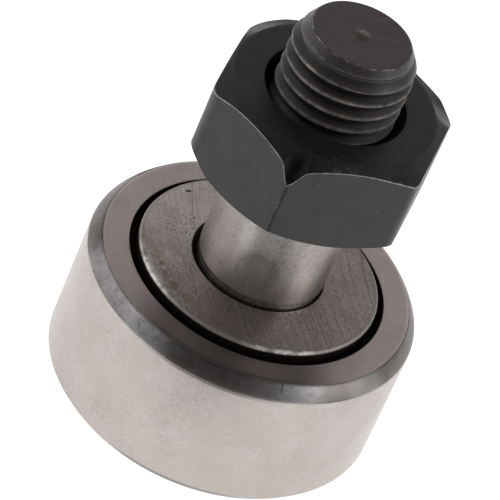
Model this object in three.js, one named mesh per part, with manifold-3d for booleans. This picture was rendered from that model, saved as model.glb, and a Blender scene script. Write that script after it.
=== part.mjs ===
// A stud-type cam follower: an outer ring that turns on needle rollers round a stud, with its nut.
// Millimetres. The stud's axis is Z, the head's outer face is z = 0 and the threaded end is up.

import * as THREE from "three";
import { mergeVertices } from "three/addons/utils/BufferGeometryUtils.js";
import Module from "manifold-3d";

// Outer ring
const RING_RADIUS = 13;
const RING_WIDTH = 12;
const RING_CHAMFER_RADIAL = 0.9; // on the washer's side
const RING_CHAMFER_AXIAL = 1.2;
const RING_HEAD_CHAMFER_RADIAL = 0.7;
const RING_HEAD_CHAMFER_AXIAL = 0.85;
const RING_RACE_RADIUS = 9;
const RING_RECESS_RADIUS = 10.05;
const RING_EDGE_BREAK = 0.2;

// Stud: head, inner raceway, shank and thread
const FACE_STEP = 0.6; // how far the head and the washer stand proud of the ring's faces
const FLANGE_RADIUS = 9.45;
const FLANGE_THICKNESS = 2.6;
const HEAD_CHAMFER = 0.35;
const STUD_RACE_RADIUS = 7;
const SHANK_RADIUS = 5;
const STUD_LENGTH = 23; // from the washer's face to the tip of the nib
const NIB_HEIGHT = 0.3;
const NIB_RADIUS = 0.4;
const THREAD_LENGTH = 14;
const THREAD_PITCH = 1.25;
const THREAD_CREST_RADIUS = 4.75;
const THREAD_DEPTH = 0.65;
const THREAD_TURN = THREE.MathUtils.degToRad(66.5); // where the thread starts
const THREAD_LEAD_RADIUS = 3.8; // where the lead chamfer meets the end face
const THREAD_LEAD_LENGTH = 1.6;
const SHANK_RUN_OUT = 0.6;
const SLIVER = 0.02; // keeps joined surfaces from lying exactly on each other

// Washer, pressed on against the raceway's shoulder
const PRESS_GAP = 0.02;
const WASHER_COUNTERSINK = 0.35;
const WASHER_CHAMFER = 0.15;

// Axial play between the ring's shoulders and the flanges
const SIDE_PLAY = 0.1;

// Needles and cage
const NEEDLE_COUNT = 16;
const NEEDLE_RADIUS = 0.97;
const NEEDLE_LENGTH = 5.8;
const NEEDLE_END_ROUND = 0.25;
const NEEDLE_SIDES = 12;
const CAGE_INNER_RADIUS = 7.35;
const CAGE_OUTER_RADIUS = 8.65;
const CAGE_SIDE_GAP = 0.2;
const WINDOW_GAP = 0.06;

// Nut
const NUT_ACROSS_FLATS = 16.75;
const NUT_HEIGHT = 7.7;
const NUT_BOTTOM = 22.5;
const NUT_FLAT_RADIUS = 7.75; // the flat land inside the corner chamfer
const NUT_CHAMFER_ANGLE = THREE.MathUtils.degToRad(30);
const NUT_BORE_RADIUS = 4.82; // plain, and just clear of the stud's crests
const NUT_COUNTERSINK_RADIUS = 5.5;
const NUT_TURN = THREE.MathUtils.degToRad(-3.5); // from a corner facing -Y

// Head: screwdriver slot, lubrication holes and nipple
const SLOT_WIDTH = 1.8;
const SLOT_DEPTH = 1.4;
const NIPPLE_HOLE_RADIUS = 2;
const NIPPLE_HOLE_DEPTH = 4.9;
const NIPPLE_FLANGE_RADIUS = 2.9;
const NIPPLE_FLANGE_THICKNESS = 0.9;
const NIPPLE_SINK = 0.3;
const NIPPLE_CLEARANCE = 0.1;
const NIPPLE_LENGTH = 4.4;
const NIPPLE_MOUTH_RADIUS = 1.7;
const NIPPLE_THROAT_RADIUS = 0.6;
const NIPPLE_THROAT_DEPTH = 0.8;
const NIPPLE_BORE_RADIUS = 1;
const NIPPLE_LIP_RADIUS = 0.5;
const NIPPLE_LIP = 0.25;
const BALL_RADIUS = 0.8;
const BALL_SEAT_GAP = 0.01;
const SPRING_RADIUS = 0.62;
const SPRING_WIRE_RADIUS = 0.11;
const SPRING_TURNS = 5;
const SPRING_GAP = 0.03;
const OIL_HOLE_RADIUS = 1.25;
const CROSS_HOLE_RADIUS = 0.9;
const CROSS_HOLE_HEIGHT = 6.6;

// Facets round each turned surface
const RING_SIDES = 72;
const STUD_SIDES = 48;
const SMALL_SIDES = 24;
const THREAD_SIDES = 28;

// Heights that follow from the sizes above
const RING_BOTTOM = FACE_STEP;
const RING_TOP = RING_BOTTOM + RING_WIDTH;
const WASHER_TOP = RING_TOP + FACE_STEP;
const WASHER_BOTTOM = WASHER_TOP - FLANGE_THICKNESS;
const NIB_TOP = WASHER_TOP + STUD_LENGTH;
const END_FACE = NIB_TOP - NIB_HEIGHT;
const THREAD_START = NIB_TOP - THREAD_LENGTH;
const THREAD_ROOT_RADIUS = THREAD_CREST_RADIUS - THREAD_DEPTH;
const MIDDLE = (FLANGE_THICKNESS + WASHER_BOTTOM) / 2;
const NEEDLE_PITCH_RADIUS = (STUD_RACE_RADIUS + RING_RACE_RADIUS) / 2;

const groundSteel = material(0xb9b2ac, 0.35);
const darkGroundSteel = material(0x8a8480, 0.4);
const blackOxide = material(0x2b2a29, 0.45);
const rollerSteel = material(0xc8c8c8, 0.2);
const brass = material(0xb08d45, 0.35);

const wasm = await Module();
wasm.setup();

function material(color, roughness) {
  return new THREE.MeshStandardMaterial({ color, roughness, metalness: 1 });
}

// A closed geometry as a solid that can be joined and cut.
function solidOf(geometry) {
  const bare = geometry.index ? geometry.toNonIndexed() : geometry.clone();
  bare.deleteAttribute("normal");
  bare.deleteAttribute("uv");
  const merged = mergeVertices(bare, 1e-4);
  const mesh = new wasm.Mesh({
    numProp: 3,
    vertProperties: new Float32Array(merged.attributes.position.array),
    triVerts: new Uint32Array(merged.index.array),
  });
  return new wasm.Manifold(mesh);
}

function geometryOf(solid) {
  const { vertProperties, triVerts } = solid.getMesh();
  const geometry = new THREE.BufferGeometry();
  geometry.setAttribute("position", new THREE.BufferAttribute(vertProperties, 3));
  geometry.setIndex(new THREE.BufferAttribute(triVerts, 1));
  geometry.computeVertexNormals();
  return geometry;
}

// A body of revolution about Z from [radius, z] points, bottom to top up its outside.
function turned(points, sides) {
  const profile = points.map(([radius, z]) => new THREE.Vector2(radius, z));
  return new THREE.LatheGeometry(profile, sides).rotateX(Math.PI / 2);
}

// The same for a ring: the profile is closed on itself.
function turnedRing(points, sides) {
  return turned([...points, points[0]], sides);
}

function upright(radius, bottom, top, sides) {
  const height = top - bottom;
  const geometry = new THREE.CylinderGeometry(radius, radius, height, sides);
  return geometry.rotateX(Math.PI / 2).translate(0, 0, (bottom + top) / 2);
}

function outerRing() {
  const recessDepth = FLANGE_THICKNESS - FACE_STEP + SIDE_PLAY;
  const low = RING_BOTTOM + recessDepth;
  const high = RING_TOP - recessDepth;
  const edge = RING_EDGE_BREAK;
  return turnedRing(
    [
      [RING_RECESS_RADIUS + edge, RING_BOTTOM],
      [RING_RADIUS - RING_HEAD_CHAMFER_RADIAL, RING_BOTTOM],
      [RING_RADIUS, RING_BOTTOM + RING_HEAD_CHAMFER_AXIAL],
      [RING_RADIUS, RING_TOP - RING_CHAMFER_AXIAL],
      [RING_RADIUS - RING_CHAMFER_RADIAL, RING_TOP],
      [RING_RECESS_RADIUS + edge, RING_TOP],
      [RING_RECESS_RADIUS, RING_TOP - edge],
      [RING_RECESS_RADIUS, high],
      [RING_RACE_RADIUS + edge, high],
      [RING_RACE_RADIUS, high - edge],
      [RING_RACE_RADIUS, low + edge],
      [RING_RACE_RADIUS + edge, low],
      [RING_RECESS_RADIUS, low],
      [RING_RECESS_RADIUS, RING_BOTTOM + edge],
    ],
    RING_SIDES,
  );
}

function endWasher() {
  const bore = SHANK_RADIUS + PRESS_GAP;
  return turnedRing(
    [
      [bore, WASHER_BOTTOM],
      [FLANGE_RADIUS, WASHER_BOTTOM],
      [FLANGE_RADIUS, WASHER_TOP - WASHER_CHAMFER],
      [FLANGE_RADIUS - WASHER_CHAMFER, WASHER_TOP],
      [bore + WASHER_COUNTERSINK, WASHER_TOP],
      [bore, WASHER_TOP - WASHER_COUNTERSINK],
    ],
    STUD_SIDES,
  );
}

// A screw thread as a closed geometry: every column round the axis is the same axial section,
// raised by its share of the pitch, so the last column meets the first one pitch further up.
function threadedRod(bottom, top) {
  const root = THREAD_ROOT_RADIUS;
  const crest = THREAD_CREST_RADIUS;
  const crestWidth = THREAD_PITCH / 8;
  const rootWidth = THREAD_PITCH / 4;
  const flank = (THREAD_PITCH - crestWidth - rootWidth) / 2;
  const section = [
    [root, 0],
    [root, rootWidth],
    [crest, rootWidth + flank],
    [crest, rootWidth + flank + crestWidth],
  ];
  const perPitch = section.length;
  const pitches = Math.ceil((top - bottom) / THREAD_PITCH) + 1;
  const rows = pitches * perPitch + 1;
  const positions = [];
  for (let column = 0; column < THREAD_SIDES; column++) {
    const turn = column / THREAD_SIDES;
    const angle = 2 * Math.PI * turn;
    for (let row = 0; row < rows; row++) {
      const [radius, offset] = section[row % perPitch];
      const turnsUp = Math.floor(row / perPitch) + turn - 1;
      const z = bottom + offset + THREAD_PITCH * turnsUp;
      positions.push(radius * Math.cos(angle), radius * Math.sin(angle), z);
    }
  }
  const at = (column, row) =>
    column < THREAD_SIDES ? column * rows + row : row + perPitch;
  const faces = [];
  for (let column = 0; column < THREAD_SIDES; column++) {
    const last = column === THREAD_SIDES - 1 ? rows - perPitch : rows;
    for (let row = 0; row < last - 1; row++) {
      const a = at(column, row);
      const b = at(column + 1, row);
      const c = at(column + 1, row + 1);
      const d = at(column, row + 1);
      faces.push(a, b, c, a, c, d);
    }
  }
  // Each end is a fan from the axis to its helical edge, and the step of one pitch on that edge.
  const lowEdge = [];
  const highEdge = [];
  for (let column = 0; column < THREAD_SIDES; column++) {
    lowEdge.push(at(column, 0));
    if (column < THREAD_SIDES - 1) highEdge.push(at(column, rows - 1));
  }
  for (let row = perPitch; row > 0; row--) lowEdge.push(at(0, row));
  for (let row = rows - 1; row >= rows - 1 - perPitch; row--) {
    highEdge.push(at(THREAD_SIDES - 1, row));
  }
  const lowCentre = positions.length / 3;
  positions.push(0, 0, bottom - THREAD_PITCH / 2);
  const highCentre = lowCentre + 1;
  positions.push(0, 0, bottom + THREAD_PITCH * (pitches - 0.5));
  lowEdge.forEach((from, i) => {
    faces.push(lowCentre, lowEdge[(i + 1) % lowEdge.length], from);
  });
  highEdge.forEach((from, i) => {
    faces.push(highCentre, from, highEdge[(i + 1) % highEdge.length]);
  });
  const geometry = new THREE.BufferGeometry();
  geometry.setAttribute("position", new THREE.Float32BufferAttribute(positions, 3));
  geometry.setIndex(faces);
  return geometry;
}

// The thread runs from inside the shank's end to the end face, where a tapered lead cuts it.
function studThread() {
  const bottom = THREAD_START - SHANK_RUN_OUT;
  const envelope = turned(
    [
      [0, bottom],
      [THREAD_CREST_RADIUS + SLIVER, bottom],
      [THREAD_CREST_RADIUS + SLIVER, END_FACE - THREAD_LEAD_LENGTH],
      [THREAD_LEAD_RADIUS, END_FACE],
      [0, END_FACE],
    ],
    STUD_SIDES,
  );
  const rod = threadedRod(bottom - THREAD_PITCH, END_FACE).rotateZ(THREAD_TURN);
  return solidOf(rod).intersect(solidOf(envelope));
}

function headCuts() {
  const below = -1;
  const slot = new THREE.BoxGeometry(3 * FLANGE_RADIUS, SLOT_WIDTH, SLOT_DEPTH - below);
  slot.translate(0, 0, (SLOT_DEPTH + below) / 2);
  const seatDepth = NIPPLE_SINK + NIPPLE_FLANGE_THICKNESS + NIPPLE_CLEARANCE;
  const seatRadius = NIPPLE_FLANGE_RADIUS + NIPPLE_CLEARANCE;
  const crossHole = new THREE.CylinderGeometry(
    CROSS_HOLE_RADIUS,
    CROSS_HOLE_RADIUS,
    2 * STUD_RACE_RADIUS,
    SMALL_SIDES,
  );
  crossHole.rotateZ(Math.PI / 2);
  crossHole.translate(STUD_RACE_RADIUS, 0, CROSS_HOLE_HEIGHT);
  return [
    slot,
    upright(seatRadius, below, seatDepth, STUD_SIDES),
    upright(NIPPLE_HOLE_RADIUS, below, NIPPLE_HOLE_DEPTH, SMALL_SIDES),
    upright(OIL_HOLE_RADIUS, below, CROSS_HOLE_HEIGHT, SMALL_SIDES),
    crossHole,
  ];
}

function stud() {
  const blank = turned(
    [
      [0, 0],
      [FLANGE_RADIUS - HEAD_CHAMFER, 0],
      [FLANGE_RADIUS, HEAD_CHAMFER],
      [FLANGE_RADIUS, FLANGE_THICKNESS],
      [STUD_RACE_RADIUS, FLANGE_THICKNESS],
      [STUD_RACE_RADIUS, WASHER_BOTTOM],
      [SHANK_RADIUS, WASHER_BOTTOM],
      [SHANK_RADIUS, THREAD_START - SHANK_RUN_OUT],
      [THREAD_ROOT_RADIUS, THREAD_START],
      [THREAD_ROOT_RADIUS - SLIVER, THREAD_START],
      [0, THREAD_START],
    ],
    STUD_SIDES,
  );
  let solid = solidOf(blank).add(studThread());
  solid = solid.add(solidOf(upright(NIB_RADIUS, END_FACE - 1, NIB_TOP, SMALL_SIDES)));
  for (const cut of headCuts()) {
    solid = solid.subtract(solidOf(cut));
  }
  return geometryOf(solid);
}

// The angle of a needle round the stud. The cross hole opens midway between two of them.
function needleAngle(index) {
  return (2 * Math.PI * (index + 0.5)) / NEEDLE_COUNT;
}

function needle() {
  const half = NEEDLE_LENGTH / 2;
  const round = NEEDLE_END_ROUND;
  return turned(
    [
      [0, -half],
      [NEEDLE_RADIUS - round, -half],
      [NEEDLE_RADIUS, round - half],
      [NEEDLE_RADIUS, half - round],
      [NEEDLE_RADIUS - round, half],
      [0, half],
    ],
    NEEDLE_SIDES,
  );
}

function needleCage() {
  const bottom = FLANGE_THICKNESS + CAGE_SIDE_GAP;
  const top = WASHER_BOTTOM - CAGE_SIDE_GAP;
  const sleeve = turnedRing(
    [
      [CAGE_INNER_RADIUS, bottom],
      [CAGE_OUTER_RADIUS, bottom],
      [CAGE_OUTER_RADIUS, top],
      [CAGE_INNER_RADIUS, top],
    ],
    STUD_SIDES,
  );
  const wall = CAGE_OUTER_RADIUS - CAGE_INNER_RADIUS;
  const windowWidth = 2 * (NEEDLE_RADIUS + WINDOW_GAP);
  const windowLength = NEEDLE_LENGTH + 2 * WINDOW_GAP;
  let solid = solidOf(sleeve);
  for (let index = 0; index < NEEDLE_COUNT; index++) {
    const window = new THREE.BoxGeometry(2 * wall, windowWidth, windowLength);
    window.translate(NEEDLE_PITCH_RADIUS, 0, MIDDLE);
    window.rotateZ(needleAngle(index));
    solid = solid.subtract(solidOf(window));
  }
  return geometryOf(solid);
}

// A hexagon whose corners are turned off at 30 degrees on both sides, with a countersunk bore.
function hexNut() {
  const cornerRadius = NUT_ACROSS_FLATS / Math.sqrt(3);
  const drop = (cornerRadius - NUT_FLAT_RADIUS) * Math.tan(NUT_CHAMFER_ANGLE);
  const top = NUT_BOTTOM + NUT_HEIGHT;
  const prism = upright(cornerRadius, NUT_BOTTOM, top, 6).rotateZ(NUT_TURN);
  const chamfered = turned(
    [
      [0, NUT_BOTTOM],
      [NUT_FLAT_RADIUS, NUT_BOTTOM],
      [cornerRadius, NUT_BOTTOM + drop],
      [cornerRadius + 1, NUT_BOTTOM + drop],
      [cornerRadius + 1, top - drop],
      [cornerRadius, top - drop],
      [NUT_FLAT_RADIUS, top],
      [0, top],
    ],
    RING_SIDES,
  );
  const sink = NUT_COUNTERSINK_RADIUS - NUT_BORE_RADIUS;
  const bore = turned(
    [
      [0, NUT_BOTTOM - 1],
      [NUT_COUNTERSINK_RADIUS + 1, NUT_BOTTOM - 1],
      [NUT_BORE_RADIUS, NUT_BOTTOM + sink],
      [NUT_BORE_RADIUS, top - sink],
      [NUT_COUNTERSINK_RADIUS + 1, top + 1],
      [0, top + 1],
    ],
    STUD_SIDES,
  );
  const solid = solidOf(prism).intersect(solidOf(chamfered)).subtract(solidOf(bore));
  return geometryOf(solid);
}

// A drive-in nipple: a flanged tube with a cone for the grease gun, a ball seat and a turned-in lip.
function greaseNipple() {
  const face = NIPPLE_SINK;
  const top = face + NIPPLE_LENGTH;
  const throat = face + NIPPLE_THROAT_DEPTH;
  const barrel = NIPPLE_HOLE_RADIUS - NIPPLE_CLEARANCE / 2;
  return turnedRing(
    [
      [NIPPLE_MOUTH_RADIUS, face],
      [NIPPLE_FLANGE_RADIUS, face],
      [NIPPLE_FLANGE_RADIUS, face + NIPPLE_FLANGE_THICKNESS],
      [barrel, face + NIPPLE_FLANGE_THICKNESS],
      [barrel, top],
      [NIPPLE_LIP_RADIUS, top],
      [NIPPLE_LIP_RADIUS, top - NIPPLE_LIP],
      [NIPPLE_BORE_RADIUS, top - NIPPLE_LIP],
      [NIPPLE_BORE_RADIUS, throat],
      [NIPPLE_THROAT_RADIUS, throat],
    ],
    SMALL_SIDES,
  );
}

// The ball's centre, resting against the edge of the throat.
function ballHeight() {
  const throat = NIPPLE_SINK + NIPPLE_THROAT_DEPTH;
  const rise = Math.sqrt(BALL_RADIUS ** 2 - NIPPLE_THROAT_RADIUS ** 2);
  return throat + rise + BALL_SEAT_GAP;
}

class Helix extends THREE.Curve {
  constructor(radius, bottom, top, turns) {
    super();
    this.radius = radius;
    this.bottom = bottom;
    this.top = top;
    this.turns = turns;
  }

  getPoint(t, target = new THREE.Vector3()) {
    const angle = 2 * Math.PI * this.turns * t;
    const z = this.bottom + (this.top - this.bottom) * t;
    return target.set(this.radius * Math.cos(angle), this.radius * Math.sin(angle), z);
  }
}

function nippleSpring() {
  const lip = NIPPLE_SINK + NIPPLE_LENGTH - NIPPLE_LIP;
  const margin = SPRING_WIRE_RADIUS + SPRING_GAP;
  const reach = Math.sqrt((BALL_RADIUS + margin) ** 2 - SPRING_RADIUS ** 2);
  const bottom = ballHeight() + reach;
  const helix = new Helix(SPRING_RADIUS, bottom, lip - margin, SPRING_TURNS);
  const wire = new THREE.Shape().absarc(0, 0, SPRING_WIRE_RADIUS, 0, 2 * Math.PI);
  return new THREE.ExtrudeGeometry(wire, {
    extrudePath: helix,
    steps: 12 * SPRING_TURNS,
    curveSegments: 3,
  });
}

const camFollower = new THREE.Group();

function place(name, geometry, surface, parent = camFollower) {
  const mesh = new THREE.Mesh(geometry, surface);
  mesh.name = name;
  parent.add(mesh);
  return mesh;
}

place("stud", stud(), darkGroundSteel);
place("outer_ring", outerRing(), groundSteel);
place("end_washer", endWasher(), darkGroundSteel);
place("hex_nut", hexNut(), blackOxide);
place("needle_cage", needleCage(), darkGroundSteel);

const needles = new THREE.Group();
needles.position.z = MIDDLE;
camFollower.add(needles);
for (let index = 0; index < NEEDLE_COUNT; index++) {
  const number = String(index + 1).padStart(2, "0");
  const angle = needleAngle(index);
  const mesh = place("needle_" + number, needle(), rollerSteel, needles);
  mesh.position.set(
    NEEDLE_PITCH_RADIUS * Math.cos(angle),
    NEEDLE_PITCH_RADIUS * Math.sin(angle),
    0,
  );
}

place("grease_nipple", greaseNipple(), brass);
const ball = new THREE.SphereGeometry(BALL_RADIUS, 16, 10).rotateX(Math.PI / 2);
place("nipple_ball", ball, rollerSteel).position.z = ballHeight();
place("nipple_spring", nippleSpring(), rollerSteel);

export default camFollower;
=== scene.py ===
"""A stud-type cam follower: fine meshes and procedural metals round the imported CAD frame."""

import math

import bmesh
import bpy
from mathutils import Matrix, Vector


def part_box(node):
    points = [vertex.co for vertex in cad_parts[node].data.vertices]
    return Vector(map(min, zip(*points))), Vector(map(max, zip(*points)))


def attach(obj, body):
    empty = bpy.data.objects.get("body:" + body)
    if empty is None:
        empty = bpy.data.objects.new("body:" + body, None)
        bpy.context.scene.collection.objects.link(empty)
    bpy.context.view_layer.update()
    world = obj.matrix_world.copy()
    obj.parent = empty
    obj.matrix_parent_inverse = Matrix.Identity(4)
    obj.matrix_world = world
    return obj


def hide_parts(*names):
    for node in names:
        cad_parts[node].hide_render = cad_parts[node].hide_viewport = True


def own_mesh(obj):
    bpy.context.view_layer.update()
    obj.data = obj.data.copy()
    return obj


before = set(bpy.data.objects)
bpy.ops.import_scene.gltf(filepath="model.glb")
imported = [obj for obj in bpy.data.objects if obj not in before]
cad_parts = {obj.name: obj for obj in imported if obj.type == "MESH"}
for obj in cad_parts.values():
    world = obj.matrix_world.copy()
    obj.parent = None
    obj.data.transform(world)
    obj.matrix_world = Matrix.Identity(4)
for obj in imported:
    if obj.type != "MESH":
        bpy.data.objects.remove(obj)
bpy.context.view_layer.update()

MM = 0.001
TAU = 2 * math.pi


def size_of(node):
    """Bottom, top and largest radius of a CAD node whose axis is the stud's, in mm."""
    low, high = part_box(node)
    return low.z / MM, high.z / MM, high.x / MM


# ---------------------------------------------------------------- sizes, in mm
RING_BOTTOM, RING_TOP, RING_RADIUS = size_of("outer_ring")
WASHER_BOTTOM, WASHER_TOP, WASHER_RADIUS = size_of("end_washer")
NUT_BOTTOM, NUT_TOP, _ = size_of("hex_nut")
STUD_BOTTOM, STUD_TOP, HEAD_RADIUS = size_of("stud")
CAGE_BOTTOM, CAGE_TOP, CAGE_RADIUS = size_of("needle_cage")
NIPPLE_BOTTOM, NIPPLE_TOP, NIPPLE_RADIUS = size_of("grease_nipple")
BALL_BOTTOM, BALL_TOP, BALL_RADIUS = size_of("nipple_ball")
SPRING_BOTTOM, SPRING_TOP, _ = size_of("nipple_spring")

RECESS_RADIUS = 10.05  # of the ring's recess in each face
CHAMFER = (0.9, 1.2)  # of the ring on the washer's side: radial, axial
HEAD_CHAMFER = (0.7, 0.85)  # of the ring on the head's side
RING_RACE = 9.0
STUD_RACE = 7.0
NEEDLE_ORBIT = 8.0
NEEDLE_RADIUS = 0.97
HEAD_THICKNESS = 2.6
HEAD_CORNER = 0.35
SIDE_PLAY = 0.1
SHANK_RADIUS = 5.0
SHANK_RELIEF = 0.06  # a shallow neck where the shank leaves the washer
CREST_RADIUS = 4.75
ROOT_RADIUS = 4.1
PITCH = 1.25
CREST_HEIGHT = 33.4  # of one crest where the thread crosses +X
THREAD_START = 22.2
LEAD_RADIUS = 3.8
LEAD_LENGTH = 1.6
NIB_HEIGHT = 0.3
NIB_RADIUS = 0.4
WASHER_PLAY = 0.02
WASHER_RIM = 0.16  # the bevel round its edge
WASHER_SINK = 0.3  # the countersink of its bore
NUT_FLATS = 16.75
NUT_LAND = 7.75  # the flat ring inside the corner chamfer
NUT_SLOPE = math.tan(math.radians(30))
NUT_BORE = 4.82
NUT_SINK = 5.5
NUT_TURN = math.radians(-3.5)  # of the front upright edge from -Y
# The nut's upright edges, from the front one anticlockwise from above: how softly the flats meet
# there, how much further the chamfers fall on the top and the underside, and over what angle.
NUT_CORNERS = (
    (0.15, 1.05, 0.0, 0.12), (0.6, -0.15, 0.0, 0.25), (0.75, 0.62, 0.0, 0.20),
    (1.0, 0.0, 0.0, 0.30), (1.4, 0.50, 0.0, 0.32), (1.0, 0.10, 0.65, 0.34),
)
NUT_OFFSETS = (0, 0, 0, 0, -0.36, 0)  # of the flats, each after its corner
SLOT_WIDTH = 1.8
SLOT_DEPTH = 1.4
GREASE_BORE = 1.25  # the radius of the stud's lubrication hole
GREASE_CROSS = 0.9  # and of the one across it
GREASE_DEPTH = 6.6
NEEDLES = 16


# ---------------------------------------------------------------- mesh helpers
def add_object(name, mesh, *materials):
    for m in materials:
        mesh.materials.append(m)
    obj = bpy.data.objects.new(name, mesh)
    bpy.context.scene.collection.objects.link(obj)
    return obj


def smooth(mesh, angle=35):
    mesh.polygons.foreach_set("use_smooth", [True] * len(mesh.polygons))
    mesh.set_sharp_from_angle(angle=math.radians(angle))


def outline(corners, closed=True, support=0.05):
    """Rounds the corners of a profile. Each corner is (radius, z, rounding); the result is a list
    of (radius, z, edge), where edge is 1 on a rounded corner, and support points flank each corner
    so that the flats between them stay flat."""
    points = []
    count = len(corners)
    for i, (r, z, rounding) in enumerate(corners):
        here = Vector((r, z))
        before = corners[i - 1] if closed or i else None
        after = corners[(i + 1) % count] if closed or i + 1 < count else None
        if before is None or after is None:
            points.append((r, z, 0.0))
            continue
        back = Vector(before[:2]) - here
        forth = Vector(after[:2]) - here
        u = back.normalized()
        v = forth.normalized()
        reach = min(rounding, 0.45 * back.length, 0.45 * forth.length)
        lead_in = min(reach + support, 0.48 * back.length)
        lead_out = min(reach + support, 0.48 * forth.length)
        points.append((*(here + u * lead_in), 0.0))
        if reach > 0:
            start = here + u * reach
            end = here + v * reach
            for t in (0.0, 0.33, 0.67, 1.0):
                p = start * (1 - t) ** 2 + here * 2 * t * (1 - t) + end * t ** 2
                points.append((*p, 1.0))
        else:
            points.append((r, z, 0.3))
        points.append((*(here + v * lead_out), 0.0))
    return points


def sweep(name, rows, columns, radius_at=None, closed=True, angle=35):
    """A body of revolution from rows of (radius, z, edge). radius_at(row, turn) may replace the
    radius and height for each angle. Rows on the axis become one point."""
    bm = bmesh.new()
    edge_layer = bm.verts.layers.float.new("edge")
    rings = []
    for index, (r, z, edge) in enumerate(rows):
        if r < 1e-6 and radius_at is None:
            v = bm.verts.new((0, 0, z * MM))
            v[edge_layer] = edge
            rings.append([v] * columns)
            continue
        ring = []
        for c in range(columns):
            turn = TAU * c / columns
            rr, zz = (r, z) if radius_at is None else radius_at(index, turn)
            v = bm.verts.new((rr * math.cos(turn) * MM, rr * math.sin(turn) * MM, zz * MM))
            v[edge_layer] = edge
            ring.append(v)
        rings.append(ring)
    last = len(rings) if closed else len(rings) - 1
    for i in range(last):
        low = rings[i]
        high = rings[(i + 1) % len(rings)]
        for c in range(columns):
            d = (c + 1) % columns
            corners = []
            for v in (low[c], low[d], high[d], high[c]):
                if v not in corners:
                    corners.append(v)
            if len(corners) > 2:
                bm.faces.new(corners)
    bmesh.ops.recalc_face_normals(bm, faces=bm.faces)
    mesh = bpy.data.meshes.new(name)
    bm.to_mesh(mesh)
    bm.free()
    smooth(mesh, angle)
    return mesh


def lathe(name, corners, columns=192, closed=True, support=0.05, angle=35):
    return sweep(name, outline(corners, closed, support), columns, closed=closed, angle=angle)


def combine(obj, tool_mesh, operation):
    """Joins or cuts obj with a closed mesh, and keeps the result."""
    tool = add_object("tool", tool_mesh)
    modifier = obj.modifiers.new("combine", "BOOLEAN")
    modifier.solver = "MANIFOLD"
    modifier.operation = operation
    modifier.object = tool
    apply_modifiers(obj)
    bpy.data.objects.remove(tool)


def apply_modifiers(obj):
    bpy.context.view_layer.update()
    graph = bpy.context.evaluated_depsgraph_get()
    made = bpy.data.meshes.new_from_object(obj.evaluated_get(graph))
    obj.modifiers.clear()
    old = obj.data
    obj.data = made
    made.name = old.name + "_made"


def bevel(obj, width, angle, segments=2):
    modifier = obj.modifiers.new("bevel", "BEVEL")
    modifier.width = width * MM
    modifier.segments = segments
    modifier.limit_method = "ANGLE"
    modifier.angle_limit = math.radians(angle)
    modifier.use_clamp_overlap = True
    apply_modifiers(obj)


def even_shading(obj):
    modifier = obj.modifiers.new("even", "WEIGHTED_NORMAL")
    modifier.keep_sharp = True
    modifier.weight = 90
    apply_modifiers(obj)


def mark_edges(mesh, lowest=18, highest=60):
    """Writes the edge attribute from how sharply the faces meet at each point."""
    bm = bmesh.new()
    bm.from_mesh(mesh)
    layer = bm.verts.layers.float.get("edge") or bm.verts.layers.float.new("edge")
    for v in bm.verts:
        turn = max((math.degrees(e.calc_face_angle(0)) for e in v.link_edges), default=0)
        v[layer] = min(1.0, max(0.0, (turn - lowest) / (highest - lowest)))
    bm.to_mesh(mesh)
    bm.free()


def piece(name, mesh, body, node, slot, *materials):
    obj = add_object(name, mesh, *materials)
    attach(obj, body)
    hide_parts(node)
    return obj


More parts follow.
